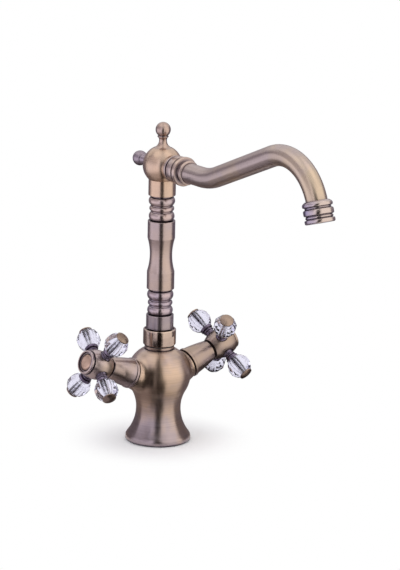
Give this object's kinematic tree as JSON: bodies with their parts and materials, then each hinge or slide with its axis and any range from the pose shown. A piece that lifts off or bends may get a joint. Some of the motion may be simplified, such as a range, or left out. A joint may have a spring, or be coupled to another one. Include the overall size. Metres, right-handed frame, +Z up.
{
  "type": "two-handle basin mixer tap",
  "caption": "Tall antique brass basin mixer with a swivelling swan-neck spout on a turned column and cross handles with faceted crystal beads; mixes hot and cold water.",
  "frame": {"origin": "centre of the base's underside, on the basin deck", "axes": "+Z up along the column, -Y along the spout at rest, -X to the hot (left) handle"},
  "size_m": [0.1698, 0.2763, 0.3],
  "materials": {
    "antique_brass": "brushed antique bronze lacquer",
    "polished_brass": "polished",
    "plain_brass": "machined",
    "copper_tint": "brushed",
    "crystal": "cut and polished",
    "rubber": "matte",
    "plastic": "moulded",
    "ceramic": "lapped",
    "steel": "plain"
  },
  "bodies": {
    "base": {"body_casting": "antique_brass", "base_gasket": "rubber", "lock_ring_seal": "rubber", "thrust_washer": "plastic", "lock_ring": "polished_brass", "left_seat_seal": "rubber", "left_cartridge": "plain_brass", "left_fixed_disc": "ceramic", "left_bonnet": "antique_brass", "right_seat_seal": "rubber", "right_cartridge": "plain_brass", "right_fixed_disc": "ceramic", "right_bonnet": "antique_brass"},
    "spout": {"column_foot": "plain_brass", "column_o_rings": "rubber", "riser_tube": "plain_brass", "ferrule": "antique_brass", "lower_beads": "antique_brass", "upper_beads": "antique_brass", "waist_sleeve": "antique_brass", "ball_head": "antique_brass", "top_finial": "antique_brass", "rear_finial": "antique_brass", "spout_collar": "antique_brass", "spout_washer": "rubber", "spout_pipe": "antique_brass", "aerator_housing": "antique_brass", "aerator_washer": "rubber", "aerator_insert": "plastic"},
    "left_handle": {"left_moving_disc": "ceramic", "left_spindle": "plain_brass", "left_spindle_o_ring": "rubber", "left_spindle_clip": "steel", "left_handle_hub": "antique_brass", "left_handle_screw": "steel", "left_index_cap": "copper_tint", "left_arms": "antique_brass", "left_end_caps": "antique_brass", "left_crystal_1": "crystal", "left_crystal_2": "crystal", "left_crystal_3": "crystal", "left_crystal_4": "crystal"},
    "right_handle": {"right_moving_disc": "ceramic", "right_spindle": "plain_brass", "right_spindle_o_ring": "rubber", "right_spindle_clip": "steel", "right_handle_hub": "antique_brass", "right_handle_screw": "steel", "right_index_cap": "copper_tint", "right_arms": "antique_brass", "right_end_caps": "antique_brass", "right_crystal_1": "crystal", "right_crystal_2": "crystal", "right_crystal_3": "crystal", "right_crystal_4": "crystal"}
  },
  "joints": [
    {"name": "spout_swivel", "type": "hinge", "parent": "base", "child": "spout", "pos_m": [0, 0, 0.1], "axis": [0, 0, 1], "continuous": true},
    {"name": "left_valve", "type": "hinge", "parent": "base", "child": "left_handle", "pos_m": [0, 0, 0.0545], "axis": [-0.9421, 0, 0.3355], "range_deg": [0, 90]},
    {"name": "right_valve", "type": "hinge", "parent": "base", "child": "right_handle", "pos_m": [0, 0, 0.0545], "axis": [-0.9421, 0, -0.3355], "range_deg": [0, 90]}
  ]
}
